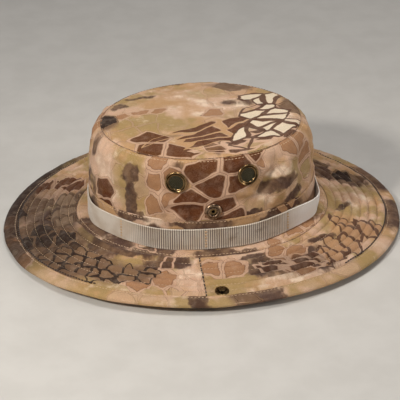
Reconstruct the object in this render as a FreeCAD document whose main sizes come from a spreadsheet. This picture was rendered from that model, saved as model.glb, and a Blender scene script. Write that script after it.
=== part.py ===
"""Wide-brimmed field hat with two side flaps that fold up and snap to the crown.

The hat stands on a table: the origin is the middle of its box's underside, +Z is up, +X is the
wearer's front, and the wearer's right side faces -Y. All sizes are in millimetres.

The crown is a ring of wall levels, each an oval. The brim is one ruled surface between the oval
where it meets the crown and its outer edge, which is lowest at the front and the back.
"""

import FreeCAD, Part
import math
import os
import Sketcher

Vector = FreeCAD.Vector
doc = FreeCAD.newDocument("boonie_hat")

# ---------------------------------------------------------------- driving dimensions

# Crown wall levels: name, height, half length along X, half width along Y.
WALL_LEVELS = [
    ("sweatband_foot", 17.0, 101.0, 84.0),
    ("wall_foot", 19.3, 101.0, 84.0),
    ("band_top", 48.0, 100.2, 83.4),
    ("wall_middle", 75.0, 99.5, 82.5),
    ("wall_shoulder", 90.0, 97.0, 81.0),
    ("wall_upper", 97.0, 94.0, 79.0),
    ("wall_top", 103.0, 88.5, 75.5),
]

# Top panel levels: the same three sizes, from its rim to the middle of its low dome.
TOP_LEVELS = [
    ("top_rim", 103.05, 88.8, 75.8),
    ("top_shoulder", 104.6, 74.0, 63.0),
    ("top_dome", 105.7, 48.0, 41.0),
    ("top_middle", 106.2, 16.0, 14.0),
]

SIZES = [
    ("cloth", 0.9),  # crown cloth thickness
    ("ply", 0.7),  # one ply of the brim
    ("ply_gap", 0.05),  # between plies laid on each other
    ("sweatband_thickness", 1.2),
    ("tape_thickness", 0.8),
    ("band_cloth", 0.8),
    ("label_half_width", 16.0),
    ("label_foot", 24.0),
    ("label_height", 20.0),
    ("label_thickness", 0.4),
    ("brim_root_height", 19.0),  # top of the brim where it meets the crown
    ("brim_root_half_length", 101.0),
    ("brim_root_half_width", 84.0),
    ("brim_half_length", 178.0),
    ("brim_half_width", 155.5),
    ("side_edge_height", 8.0),  # top of the brim's edge at the two sides
    ("binding_width", 10.5),
    ("binding_thickness", 0.7),
    ("facing_width", 11.0),  # strip round the foot of the crown
    ("facing_thickness", 0.6),
    ("fold_near", 11.3),  # the fold strip, measured out from the crown's side
    ("fold_far", 17.0),
    ("panel_seam_x", -13.0),  # where the brim's front and back panels are joined
    ("seam_gap", 0.1),
    ("webbing_width", 20.0),
    ("webbing_thickness", 1.3),
    ("webbing_foot", 20.0),
    ("webbing_near", 1.0),  # off the crown cloth at a tack
    ("webbing_bulge", 1.4),  # further off halfway between tacks
    ("tack_width", 0.9),
    ("tack_thickness", 0.35),
    ("tack_height", 16.0),
    ("vent_x", 30.5),
    ("rear_vent_height", 83.5),
    ("front_vent_height", 86.0),
    ("vent_hole_radius", 7.6),
    ("vent_flange_radius", 9.5),
    ("vent_bore_radius", 7.0),
    ("vent_barrel_radius", 7.4),
    ("vent_flare_radius", 8.3),
    ("screen_radius", 6.9),
    ("screen_thickness", 0.4),
    ("snap_hole_radius", 2.3),
    ("snap_height", 56.0),
    ("stud_reach", 54.1),  # from the crown's side out to the stud
    ("socket_radius", 7.0),
    ("socket_bore_radius", 3.4),
    ("socket_depth", 2.7),
    ("crown_cap_radius", 7.4),
    ("brim_cap_radius", 6.3),
    ("post_radius", 2.0),
    ("post_bore_radius", 1.5),
    ("stud_flange_radius", 6.0),
    ("stud_neck_radius", 2.45),
    ("stud_head_radius", 2.75),
    ("stud_bore_radius", 2.1),
    ("stud_height", 3.0),
    ("below_cloth", 3.0),  # turned metal parts are drawn from this far under the cloth's face
]

TACKS = 8
FIRST_TACK_DEGREES = -94.0  # oval angle of the tack by the right flap's stud
LOOP_POINTS = 48
SIDES = {"right": -1, "left": 1}

sheet = doc.addObject("Spreadsheet::Sheet", "Sizes")
cells = list(SIZES)
for level, height, half_length, half_width in WALL_LEVELS + TOP_LEVELS:
    cells += [
        (level + "_height", height),
        (level + "_half_length", half_length),
        (level + "_half_width", half_width),
    ]
for row, (alias, value) in enumerate(cells, 1):
    sheet.set(f"A{row}", alias.replace("_", " "))
    sheet.set(f"B{row}", str(value))
    sheet.setAlias(f"B{row}", alias)
doc.recompute()

sub_parts = []


def size(alias):
    """A driving dimension's value."""
    return float(sheet.get(alias))


def keep(piece, label):
    """Marks an object as a finished sub-part, which is written to its own file."""
    piece.Label = label
    sub_parts.append(piece)
    return piece


def feature(label, shape):
    """A sub-part whose shape no primitive makes."""
    piece = doc.addObject("Part::Feature", "shape_" + label)
    piece.Shape = shape
    return keep(piece, label)


# ---------------------------------------------------------------- crown


def oval_stack(name, levels, offset):
    """A solid through the ovals of the named levels, each grown by an offset, with flat ends."""
    ovals = []
    for level in levels:
        oval = doc.addObject("Part::Ellipse", f"{name}_{level}")
        oval.setExpression("MajorRadius", f"Sizes.{level}_half_length + ({offset})")
        oval.setExpression("MinorRadius", f"Sizes.{level}_half_width + ({offset})")
        oval.setExpression("Placement.Base.z", f"Sizes.{level}_height")
        ovals.append(oval)
    stack = doc.addObject("Part::Loft", name)
    stack.Sections = ovals
    stack.Solid = True
    stack.Ruled = True
    return stack


def cut(name, base, tool):
    piece = doc.addObject("Part::Cut", name)
    piece.Base = base
    piece.Tool = tool
    return piece


def common(name, base, tool):
    piece = doc.addObject("Part::Common", name)
    piece.Base = base
    piece.Tool = tool
    return piece


def wall_layer(name, levels, outer, inner):
    """An oval tube that follows the crown's wall, between two offsets from its outer face."""
    return cut(
        name,
        oval_stack(name + "_outside", levels, outer),
        oval_stack(name + "_inside", levels, inner),
    )


def box(name, x, y, z):
    """A box between the given pairs of coordinates."""
    block = doc.addObject("Part::Box", name)
    block.Length, block.Width, block.Height = x[1] - x[0], y[1] - y[0], z[1] - z[0]
    block.Placement.Base = Vector(x[0], y[0], z[0])
    return block


def wall_frame(x, height, side):
    """A placement on the crown's outer face, with its Z axis along the outward normal."""
    levels = [l[0] for l in WALL_LEVELS]
    for low, high in zip(levels, levels[1:]):
        rise = size(high + "_height") - size(low + "_height")
        share = (height - size(low + "_height")) / rise
        if share <= 1:
            break
    half_length = (1 - share) * size(low + "_half_length") + share * size(high + "_half_length")
    half_width = (1 - share) * size(low + "_half_width") + share * size(high + "_half_width")
    lean = (size(high + "_half_width") - size(low + "_half_width")) / rise
    y = side * half_width * math.sqrt(1 - (x / half_length) ** 2)
    normal = Vector(x / half_length**2, y / half_width**2, -lean / half_width)
    return FreeCAD.Placement(Vector(x, y, height), FreeCAD.Rotation(Vector(0, 0, 1), normal))


def sunk(frame, depth):
    """The same placement moved back along its own Z axis."""
    return frame.multiply(FreeCAD.Placement(Vector(0, 0, -depth), FreeCAD.Rotation()))


def drill(name, radius_alias, frame, reach):
    """A cylinder through the cloth at a placement, to cut a hole with."""
    tool = doc.addObject("Part::Cylinder", name)
    tool.setExpression("Radius", f"Sizes.{radius_alias}")
    tool.Height = 2 * reach
    tool.Placement = sunk(frame, reach)
    return tool


def vent_frames(side):
    return {
        "rear": wall_frame(-size("vent_x"), size("rear_vent_height"), side),
        "front": wall_frame(size("vent_x"), size("front_vent_height"), side),
    }


def snap_frame(side):
    return wall_frame(0.0, size("snap_height"), side)


WALL = [l[0] for l in WALL_LEVELS]
FAR = 400.0  # past the hat on every side


def crown_cloth():
    """Two side panels, the top panel, the strip round the foot, and the tape and band inside."""
    half_gap = size("seam_gap") / 2
    for side_name, side in SIDES.items():
        wall = wall_layer(f"wall_{side_name}", WALL[1:], "0", "-Sizes.cloth")
        span = sorted((side * half_gap, side * FAR))
        half = common(
            f"half_{side_name}",
            wall,
            box(f"side_of_{side_name}", (-FAR, FAR), span, (0, FAR)),
        )
        holes = doc.addObject("Part::MultiFuse", f"holes_{side_name}")
        holes.Shapes = [
            drill(f"vent_hole_{side_name}_{end}", "vent_hole_radius", frame, 6.0)
            for end, frame in vent_frames(side).items()
        ] + [drill(f"snap_hole_{side_name}", "snap_hole_radius", snap_frame(side), 6.0)]
        keep(cut(f"panel_{side_name}", half, holes), f"crown_side_panel_{side_name}")

    top_names = [l[0] for l in TOP_LEVELS]
    dome = oval_stack("top_outside", top_names, "0")
    hollow = oval_stack("top_inside", top_names, "-4 * Sizes.cloth")
    hollow.Placement.Base = Vector(0, 0, -size("cloth"))
    keep(cut("top", dome, hollow), "crown_top_panel")

    keep(
        wall_layer("foot_band", WALL[1:3], "Sizes.ply_gap + Sizes.band_cloth", "Sizes.ply_gap"),
        "crown_base_band",
    )
    keep(
        wall_layer(
            "sweatband",
            WALL[0:3],
            "-Sizes.cloth - 0.2",
            "-Sizes.cloth - 0.2 - Sizes.sweatband_thickness",
        ),
        "sweatband",
    )
    keep(
        wall_layer(
            "top_tape",
            WALL[5:7],
            "-Sizes.cloth - 0.1",
            "-Sizes.cloth - 0.1 - Sizes.tape_thickness",
        ),
        "crown_seam_tape",
    )
    inside = "-Sizes.cloth - 0.3 - Sizes.sweatband_thickness"
    label_layer = wall_layer("label_layer", WALL[1:3], inside, inside + " - Sizes.label_thickness")
    label_cut = box(
        "label_cut",
        (-FAR, 0),
        (-size("label_half_width"), size("label_half_width")),
        (size("label_foot"), size("label_foot") + size("label_height")),
    )
    keep(common("label", label_layer, label_cut), "size_label")


# ---------------------------------------------------------------- brim


def brim_point(u, angle, lift):
    """A point of the brim: u is 0 at the crown and 1 at the edge, lift is above its top face."""
    root_height = size("brim_root_height")
    over = 1 + size("binding_thickness") / (size("brim_half_length") - size("brim_root_half_length"))
    low = root_height + (brim_depth() + size("binding_thickness") - root_height) / over
    side = size("side_edge_height")
    edge_height = (low + side) / 2 + (low - side) / 2 * math.cos(2 * angle)
    length = size("brim_root_half_length")
    width = size("brim_root_half_width")
    return Vector(
        (length + u * (size("brim_half_length") - length)) * math.cos(angle),
        (width + u * (size("brim_half_width") - width)) * math.sin(angle),
        root_height + u * (edge_height - root_height) + lift,
    )


def brim_depth():
    """Thickness of the brim's three plies and the gaps between them, with one under the binding."""
    return 3 * size("ply") + 3 * size("ply_gap")


def brim_u(reach):
    """The share of the brim's width that lies a given distance out from the crown."""
    return reach / (size("brim_half_width") - size("brim_root_half_width"))


def closed_loop(points):
    curve = Part.BSplineCurve()
    curve.interpolate(points, PeriodicFlag=True)
    return curve.toShape()


def ring_solid(top_inner, top_outer, bottom_outer, bottom_inner):
    """A closed ring between four closed edges, with a ruled face between each and the next."""
    edges = [top_inner, top_outer, bottom_outer, bottom_inner]
    faces = [
        Part.makeRuledSurface(first, second)
        for first, second in zip(edges, edges[1:] + edges[:1])
    ]
    shell = Part.makeShell(faces)
    shell.sewShape()
    solid = Part.makeSolid(shell)
    if solid.Volume < 0:
        solid.reverse()
    return solid


def brim_ring(inner_u, outer_u, top, bottom):
    """A ring of the brim's surface between two shares of its width and two lifts."""
    angles = [2 * math.pi * k / LOOP_POINTS for k in range(LOOP_POINTS)]
    corners = [(inner_u, top), (outer_u, top), (outer_u, bottom), (inner_u, bottom)]
    return ring_solid(
        *[closed_loop([brim_point(u, a, lift) for a in angles]) for u, lift in corners]
    )


def slab(x, y):
    """A tall block, to keep one region of the brim."""
    return Part.makeBox(x[1] - x[0], y[1] - y[0], FAR, Vector(x[0], y[0], -FAR / 2))


def brim_frame(side):
    """A placement on the brim's top face at the stud, with its Z axis along the face's normal."""
    angle = side * math.pi / 2
    u = brim_u(size("stud_reach"))
    here = brim_point(u, angle, 0)
    out = brim_point(1, angle, 0) - brim_point(0, angle, 0)
    along = brim_point(u, angle + 0.01, 0) - brim_point(u, angle - 0.01, 0)
    normal = out.cross(along)
    return FreeCAD.Placement(here, FreeCAD.Rotation(Vector(0, 0, 1), normal))


def brim_cloth():
    """Plies, binding and facing, each cut into a centre, two fold strips and two flaps."""
    ply, gap, slit = size("ply"), size("ply_gap"), size("seam_gap") / 2
    near = size("brim_root_half_width") + size("fold_near")
    far = size("brim_root_half_width") + size("fold_far")
    inner_u = brim_u(-size("cloth"))
    seam = size("panel_seam_x")
    front_x, back_x, all_x = (seam + slit, FAR), (-FAR, seam - slit), (-FAR, FAR)

    def rows(side):
        """The fold strip's and the flap's span in Y on one side."""
        return {
            "fold": sorted((side * (near + 2 * slit), side * (far - 2 * slit))),
            "flap": sorted((side * far, side * FAR)),
        }

    def drilled(shape, side):
        frame = brim_frame(side)
        drill_shape = Part.makeCylinder(size("snap_hole_radius"), 20)
        drill_shape.Placement = sunk(frame, 10)
        return shape.cut(drill_shape)

    stacks = {
        "brim_upper": (0.0, -ply),
        "brim_interlining": (-ply - gap, -2 * ply - gap),
        "brim_lower": (-2 * ply - 2 * gap, -3 * ply - 2 * gap),
    }
    for name, (top, bottom) in stacks.items():
        edge_u = 1.0 if name != "brim_interlining" else 1 - brim_u(1.0)
        ring = brim_ring(inner_u, edge_u, top, bottom)
        halves = [all_x] if name == "brim_interlining" else [front_x, back_x]
        if len(halves) == 1:
            feature(name + "_centre", ring.common(slab(all_x, (-near, near))))
        else:
            feature(name + "_front", ring.common(slab(front_x, (-near, near))))
            feature(name + "_back", ring.common(slab(back_x, (-near, near))))
        for side_name, side in SIDES.items():
            for region, span in rows(side).items():
                pieces = []
                for half in halves:
                    piece = ring.common(slab(half, span))
                    pieces += (drilled(piece, side) if region == "flap" else piece).Solids
                feature(f"{name}_{region}_{side_name}", Part.makeCompound(pieces))

    thick = size("binding_thickness")
    binding = brim_ring(
        1 - brim_u(size("binding_width")),
        1 + thick / (size("brim_half_length") - size("brim_root_half_length")),
        thick,
        -brim_depth() - thick,
    ).cut(brim_ring(0.5, 1.0005, gap, -brim_depth()))
    feature("edge_binding_front", binding.common(slab((0, FAR), (-near, near))))
    feature("edge_binding_back", binding.common(slab((-FAR, 0), (-near, near))))
    for side_name, side in SIDES.items():
        for region, span in rows(side).items():
            piece = binding.common(slab(all_x, span))
            feature(f"edge_binding_{region}_{side_name}", Part.makeCompound(piece.Solids))

    feature(
        "crown_foot_facing",
        brim_ring(
            brim_u(1.1), brim_u(size("facing_width")), gap + size("facing_thickness"), gap
        ),
    )


# ---------------------------------------------------------------- webbing


def wall_point(angle, height, offset):
    """A point beside the crown's wall between its foot and the band's top."""
    rise = size("band_top_height") - size("wall_foot_height")
    share = (height - size("wall_foot_height")) / rise
    axes = [
        (1 - share) * size("wall_foot_" + axis) + share * size("band_top_" + axis)
        for axis in ("half_length", "half_width")
    ]
    point = Vector(axes[0] * math.cos(angle), axes[1] * math.sin(angle), height)
    normal = Vector(math.cos(angle) / axes[0], math.sin(angle) / axes[1], 0).normalize()
    return point + normal * offset


def webbing():
    """The branch loops: one strap round the crown, tacked down so that it stands off between."""
    first = math.radians(FIRST_TACK_DEGREES)
    foot, width = size("webbing_foot"), size("webbing_width")
    thick = size("webbing_thickness")

    def stand_off(angle):
        lobe = 0.5 - 0.5 * math.cos(TACKS * (angle - first))
        return size("webbing_near") + size("webbing_bulge") * lobe

    def loop(height, extra):
        angles = [2 * math.pi * k / (2 * LOOP_POINTS) for k in range(2 * LOOP_POINTS)]
        return closed_loop([wall_point(a, height, stand_off(a) + extra) for a in angles])

    strap = ring_solid(
        loop(foot + width, 0), loop(foot + width, thick), loop(foot, thick), loop(foot, 0)
    )
    feature("branch_loop_webbing", strap)

    tacks = []
    for k in range(TACKS):
        angle = first + 2 * math.pi * k / TACKS
        height = foot + (width - size("tack_height")) / 2
        proud = size("webbing_near") + thick + size("ply_gap")
        low = wall_point(angle, height, proud)
        high = wall_point(angle, height + size("tack_height"), proud)
        out = (wall_point(angle, height, proud + 1) - low).normalize()
        bar = Part.makeBox(
            size("tack_width"), size("tack_thickness"), (high - low).Length,
            Vector(-size("tack_width") / 2, 0, 0),
        )
        up = (high - low).normalize()
        across = out.cross(up)
        turn = FreeCAD.Matrix(
            across.x, out.x, up.x, low.x,
            across.y, out.y, up.y, low.y,
            across.z, out.z, up.z, low.z,
            0, 0, 0, 1,
        )
        bar.Placement = FreeCAD.Placement(turn)
        tacks.append(bar)
    feature("webbing_tacks", Part.makeCompound(tacks))


# ---------------------------------------------------------------- turned metal


def turned(label, profile, frame):
    """A body turned about its own Z axis. The profile is a closed list of corners, each a radius
    and a height: a radius is None on the axis, or an alias with an offset to add to it, and a
    height is an offset from the cloth's face. Heights are drawn from a plane under the cloth, so
    that none is negative."""
    body = doc.addObject("PartDesign::Body", "body_" + label)
    sketch = body.newObject("Sketcher::SketchObject", "profile_" + label)
    plane = next(f for f in body.Origin.OriginFeatures if f.Role == "XZ_Plane")
    sketch.AttachmentSupport = [(plane, "")]
    sketch.MapMode = "FlatFace"

    corners = [
        (size(radius[0]) + radius[1] if radius else 0.0, size("below_cloth") + height)
        for radius, height in profile
    ]
    for start, end in zip(corners, corners[1:] + corners[:1]):
        sketch.addGeometry(Part.LineSegment(Vector(*start, 0), Vector(*end, 0)), False)
    for k in range(len(corners)):
        after = (k + 1) % len(corners)
        sketch.addConstraint(Sketcher.Constraint("Coincident", k, 2, after, 1))
    for k, (radius, height) in enumerate(profile):
        if radius:
            across = Sketcher.Constraint("DistanceX", -1, 1, k, 1, corners[k][0])
            index = sketch.addConstraint(across)
            sketch.setExpression(f"Constraints[{index}]", f"Sizes.{radius[0]} + ({radius[1]})")
        else:
            sketch.addConstraint(Sketcher.Constraint("PointOnObject", k, 1, -2))
        up = Sketcher.Constraint("DistanceY", -1, 1, k, 1, corners[k][1])
        index = sketch.addConstraint(up)
        sketch.setExpression(f"Constraints[{index}]", f"Sizes.below_cloth + ({height})")
    turn = body.newObject("PartDesign::Revolution", "turn_" + label)
    turn.Profile = sketch
    turn.ReferenceAxis = (sketch, ["V_Axis"])
    turn.Angle = 360
    body.Placement = sunk(frame, size("below_cloth"))
    return keep(body, label)


def vents():
    """Each vent is a flanged eyelet rolled over a washer inside, with a screen across its bore."""
    bore, barrel = ("vent_bore_radius", 0), ("vent_barrel_radius", 0)
    flare, flange = ("vent_flare_radius", 0), ("vent_flange_radius", 0)
    washer_bore = ("vent_barrel_radius", 0.05)
    eyelet = [
        (bore, -3.15),
        (flare, -3.15),
        (flare, -2.8),
        (barrel, -2.8),
        (barrel, 0.05),
        (flange, 0.05),
        (flange, 0.55),
        (("vent_flange_radius", -0.6), 1.15),
        (("vent_flange_radius", -1.6), 1.25),
        (bore, 0.6),
    ]
    washer = [(washer_bore, -2.75), (flange, -2.75), (flange, -2.25), (washer_bore, -2.25)]
    screen_rim, top = ("screen_radius", 0), size("screen_thickness") - 0.4
    screen = [(None, -0.4), (screen_rim, -0.4), (screen_rim, top), (None, top)]
    for side_name, side in SIDES.items():
        for end, frame in vent_frames(side).items():
            turned(f"vent_eyelet_{side_name}_{end}", eyelet, frame)
            turned(f"vent_washer_{side_name}_{end}", washer, frame)
            turned(f"vent_screen_{side_name}_{end}", screen, frame)


def snaps():
    """A socket and its cap on each side of the crown, and a stud and its cap on each flap."""
    post, post_bore = ("post_radius", 0), ("post_bore_radius", 0)
    clear_of_post, post_curl = ("post_radius", 0.1), ("post_radius", 0.9)
    rim, socket_bore = ("socket_radius", 0), ("socket_bore_radius", 0)
    top = size("socket_depth")
    socket = [
        (clear_of_post, 0.05),
        (rim, 0.05),
        (rim, top - 1.1),
        (("socket_radius", -0.8), top - 0.3),
        (("socket_bore_radius", 0.8), top),
        (socket_bore, top - 0.4),
        (socket_bore, 0.5),
        (clear_of_post, 0.5),
    ]
    crown_cap = [
        (None, -2.5),
        (("crown_cap_radius", -1), -2.4),
        (("crown_cap_radius", 0), -1.9),
        (("crown_cap_radius", 0), -1.5),
        (post, -1.5),
        (post, 0.55),
        (post_curl, 0.55),
        (post_curl, 0.8),
        (post_bore, 0.8),
        (post_bore, -2.0),
        (None, -2.0),
    ]
    height = size("stud_height")
    stud_bore, head = ("stud_bore_radius", 0), ("stud_head_radius", 0)
    stud = [
        (stud_bore, 0.05),
        (("stud_flange_radius", 0), 0.05),
        (("stud_flange_radius", 0), 0.4),
        (("stud_flange_radius", -1), 0.8),
        (("stud_neck_radius", 0.4), 0.9),
        (("stud_neck_radius", 0), 1.2),
        (("stud_neck_radius", 0), 1.6),
        (head, 2.1),
        (head, height - 0.4),
        (("stud_head_radius", -0.7), height),
        (None, height),
        (None, height - 0.4),
        (stud_bore, height - 0.5),
    ]
    under = -3 * size("ply") - 3 * size("ply_gap") - 0.15
    brim_cap = [
        (None, under - 0.55),
        (("brim_cap_radius", -0.9), under - 0.5),
        (("brim_cap_radius", 0), under - 0.25),
        (("brim_cap_radius", 0), under),
        (post, under),
        (post, 1.9),
        (post_bore, 1.9),
        (post_bore, under - 0.1),
        (None, under - 0.1),
    ]
    for side_name, side in SIDES.items():
        turned(f"snap_socket_{side_name}", socket, snap_frame(side))
        turned(f"snap_socket_cap_{side_name}", crown_cap, snap_frame(side))
        turned(f"snap_stud_{side_name}", stud, brim_frame(side))
        turned(f"snap_stud_cap_{side_name}", brim_cap, brim_frame(side))


# ---------------------------------------------------------------- build and write


def check_and_write():
    """Stops on a failed object or an unsound shape, then writes every sub-part."""
    doc.recompute()
    for item in doc.Objects:
        if "Invalid" in item.State or "Error" in item.State:
            raise SystemExit(f"{item.Name} failed: {item.State}")
    os.makedirs("parts", exist_ok=True)
    for piece in sub_parts:
        shape = piece.Shape
        if shape.isNull() or not shape.isValid() or not shape.Solids or shape.Volume <= 0:
            raise SystemExit(f"{piece.Label} has an unsound shape")
    for piece in sub_parts:
        piece.Shape.exportStep(f"parts/{piece.Label}.step")
    print(len(sub_parts), "sub-parts written")


crown_cloth()
brim_cloth()
webbing()
vents()
snaps()
check_and_write()
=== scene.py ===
import math

import bpy
import numpy as np
from mathutils import Matrix, Vector


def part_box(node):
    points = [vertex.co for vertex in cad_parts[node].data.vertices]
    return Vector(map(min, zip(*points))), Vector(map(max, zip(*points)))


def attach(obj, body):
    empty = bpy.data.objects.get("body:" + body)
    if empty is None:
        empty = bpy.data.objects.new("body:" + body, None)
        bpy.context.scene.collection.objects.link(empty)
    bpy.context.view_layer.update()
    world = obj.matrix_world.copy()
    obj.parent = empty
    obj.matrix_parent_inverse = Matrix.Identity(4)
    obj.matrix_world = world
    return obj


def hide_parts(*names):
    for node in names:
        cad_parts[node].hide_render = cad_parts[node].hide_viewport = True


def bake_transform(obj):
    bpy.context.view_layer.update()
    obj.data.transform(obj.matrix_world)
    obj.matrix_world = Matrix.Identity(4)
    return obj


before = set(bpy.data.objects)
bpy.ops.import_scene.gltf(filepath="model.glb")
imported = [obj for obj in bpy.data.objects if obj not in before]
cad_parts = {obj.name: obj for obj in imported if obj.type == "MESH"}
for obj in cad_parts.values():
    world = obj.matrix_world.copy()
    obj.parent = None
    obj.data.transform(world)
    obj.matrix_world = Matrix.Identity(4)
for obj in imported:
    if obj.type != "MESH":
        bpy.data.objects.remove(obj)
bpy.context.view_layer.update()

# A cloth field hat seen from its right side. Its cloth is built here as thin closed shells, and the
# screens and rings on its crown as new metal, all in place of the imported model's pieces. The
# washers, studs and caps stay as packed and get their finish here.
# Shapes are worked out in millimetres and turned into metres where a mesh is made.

PI = math.pi
MM = 0.001

# ---------------------------------------------------------------- sizes, in millimetres

WALL_Z = np.array([17.0, 19.3, 48.0, 75.0, 90.0, 97.0, 103.0])
WALL_X = np.array([101.1, 101.0, 100.2, 99.5, 97.0, 94.0, 88.5])
WALL_Y = np.array([84.1, 84.0, 83.4, 82.5, 81.0, 79.0, 75.5])
SEAM_Z = 103.0
TOP_X, TOP_Y = 88.2, 75.2
CROWN_CLOTH, BRIM_CLOTH = 0.8, 0.5  # thickness of the crown's panels and of each ply of the brim

ROOT_X, ROOT_Y, ROOT_Z = 101.0, 84.0, 19.0
EDGE_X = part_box("brim_upper_front")[1].x / MM
EDGE_Y = -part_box("brim_upper_flap_right")[0].y / MM
EDGE_LOW, EDGE_SIDE = 3.1, 8.0
BRIM_WIDTH = EDGE_Y - ROOT_Y
BRIM_DEPTH = 2.25
SEAM_X = -13.0
FACING = 11.0
BINDING = 10.5
QUILT_GAPS = 7
U_FACING = FACING / BRIM_WIDTH
U_BINDING = 1 - BINDING / BRIM_WIDTH
U_ROWS = np.linspace(U_FACING, U_BINDING, QUILT_GAPS + 1)

BAND_TOP = 48.0
TACKS, FIRST_TACK = 8, math.radians(-94.0)
LOOP_MIDDLE = FIRST_TACK + 1.5 * 2 * PI / TACKS  # the loop that sags off the wall most
RIBS = 310
BINDING_STRETCH = 1.75  # the binding's length against the crown's, for marks and puckers along it
YARN, RIPSTOP = 0.42, 2.6  # pitch of the cloth's yarns and of half its ripstop squares
SIDES = {"right": -1, "left": 1}
ENDS = ("rear", "front")


def vent_centre(side, end):
    low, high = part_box(f"vent_eyelet_{side}_{end}")
    return (low.x + high.x) / 2 / MM, (low.z + high.z) / 2 / MM


VENTS = {(side, end): vent_centre(side, end) for side in SIDES for end in ENDS}
VENT_HOLE, SNAP_HOLE = 8.1, 2.4
SNAP_Z = sum(c.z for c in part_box("snap_socket_right")) / 2 / MM
STUD_Y = -sum(c.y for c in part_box("snap_stud_right")) / 2 / MM

# ---------------------------------------------------------------- small maths


def smooth(low, high, x):
    t = np.clip((x - low) / (high - low), 0, 1)
    return t * t * (3 - 2 * t)


def bell(x, width):
    return np.exp(-((x / width) ** 2))


def ripples(x, y, wavelength, seed, stretch=1.0, waves=9):
    """Smooth noise of about -1 to 1 from sine waves, the same every run."""
    rng = np.random.default_rng(seed)
    total = np.zeros(np.broadcast(x, y).shape)
    for _ in range(waves):
        angle = rng.uniform(0, 2 * PI)
        k = 2 * PI / (wavelength * rng.uniform(0.7, 1.5))
        total = total + np.sin(
            k * (x * math.cos(angle) + y * math.sin(angle) / stretch) + rng.uniform(0, 2 * PI)
        )
    return total / math.sqrt(waves)


def curve_through(x, xs, ys):
    """A smooth curve through points, by cubic pieces."""
    slope = np.gradient(ys, xs)
    i = np.clip(np.searchsorted(xs, x) - 1, 0, len(xs) - 2)
    h = xs[i + 1] - xs[i]
    t = (x - xs[i]) / h
    return (
        (1 + 2 * t) * (1 - t) ** 2 * ys[i]
        + t * (1 - t) ** 2 * h * slope[i]
        + t * t * (3 - 2 * t) * ys[i + 1]
        + t * t * (t - 1) * h * slope[i + 1]
    )


def steps(*spans):
    """Evenly spaced values in several stretches, each given by its start, end and count."""
    return np.concatenate([np.linspace(*span) for span in spans])


def all_round(count):
    """Angles all the way round, without the last one that would repeat the first."""
    return np.linspace(-PI, PI, count, endpoint=False)


def spread(first, second):
    """Every pair of values from two lists, as two flat lists."""
    one, two = np.meshgrid(first, second, indexing="ij")
    return one.ravel(), two.ravel()


def wrapped(angle):
    return np.arctan2(np.sin(angle), np.cos(angle))


# ---------------------------------------------------------------- surfaces


def wall_radii(z):
    """Half the crown's length and half its width at a height."""
    return curve_through(z, WALL_Z, WALL_X), curve_through(z, WALL_Z, WALL_Y)


def wall(angle, z, out=0.0):
    """A point on the crown's wall, moved out along its face."""
    a, b = wall_radii(z)
    lean = wall_radii(z - 0.5)[1] - wall_radii(z + 0.5)[1]
    nx, ny = np.cos(angle) / a, np.sin(angle) / b
    size = np.hypot(nx, ny)
    tilt = np.hypot(1, lean)
    x = a * np.cos(angle) + out * nx / size / tilt
    y = b * np.sin(angle) + out * ny / size / tilt
    return np.stack(np.broadcast_arrays(x, y, z + out * lean / tilt), -1)


ARC_ANGLES = np.linspace(-PI, PI, 2881)
ARC_STEPS = np.hypot(ROOT_X * np.sin(ARC_ANGLES), ROOT_Y * np.cos(ARC_ANGLES))
ARC_LENGTHS = np.concatenate(
    [[0], np.cumsum((ARC_STEPS[1:] + ARC_STEPS[:-1]) / 2 * np.diff(ARC_ANGLES))]
)
ARC_LENGTHS = ARC_LENGTHS - np.interp(-PI / 2, ARC_ANGLES, ARC_LENGTHS)
CROWN_ROUND = ARC_LENGTHS[-1] - ARC_LENGTHS[0]


def arc(angle):
    """Distance round the crown's foot from the middle of its right side."""
    return np.interp(angle, ARC_ANGLES, ARC_LENGTHS)


# Soft folds that hang from the vents to the band: place, width, height, lean and depth of each.
WALL_FOLDS = (
    (47, 73, 7, 15, 0.7, -2.6), (63, 66, 9, 20, 0.25, 1.6), (-25, 58, 21, 3.6, 0.1, -1.7),
    (-58, 74, 7, 22, -0.15, -1.8), (-43, 66, 8, 15, 0.2, 1.1), (22, 62, 14, 4.0, -0.2, -1.2),
    (0, 74, 12, 12, 0, 1.1), (84, 70, 6, 22, 0.1, -1.6),
)


def wall_relief(angle, z):
    """How far the crown's cloth stands off its plain shape."""
    a, b = wall_radii(z)
    x, y = a * np.cos(angle), b * np.sin(angle)
    s = arc(angle)
    relief = 0.95 * ripples(x + y, z + x - y, 95, 3) + 0.82 * ripples(s, z, 32, 5)
    relief += 0.42 * ripples(s, z, 12, 7) + 0.12 * ripples(s, z, 5.5, 9)
    relief *= smooth(SEAM_Z, 90, z) * 0.8 + 0.2
    relief *= smooth(40, 51, z)
    relief += 0.6 * ripples(s, z, 8.5, 11, stretch=3) * (bell(z - 97, 6) + 0.6 * bell(z - 51, 5))
    relief -= 1.5 * smooth(99.5, SEAM_Z, z)
    calm = np.ones_like(relief)
    dish = np.zeros_like(relief)
    for (side, _), (cx, cz) in VENTS.items():
        r = np.hypot(x - cx, z - cz)
        near = (y * SIDES[side] > 0) * 1.0
        calm = calm * (1 - near * (1 - smooth(8.5, 19, r)))
        spokes = np.cos(7 * np.arctan2(z - cz, x - cx) + cx)
        relief += near * 0.22 * spokes * bell(r - 13, 3.5)
        relief -= near * 0.7 * bell(r - 12.5, 5.0) * (r > 9)
        dish = dish + near * 0.75 * (1 - smooth(9.6, 13.5, r))
    for side in SIDES.values():
        r = np.hypot(x, z - SNAP_Z)
        near = (y * side > 0) * 1.0
        calm = calm * (1 - near * (1 - smooth(6.5, 15, r)))
    relief *= calm
    for cx, cz, wide, tall, lean, depth in WALL_FOLDS:
        dx, dz = (x - cx) - lean * (z - cz), z - cz
        relief += 1.7 * depth * bell(dx, wide) * bell(dz, tall) * smooth(49, 56, z) * calm
    return relief - dish


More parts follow.
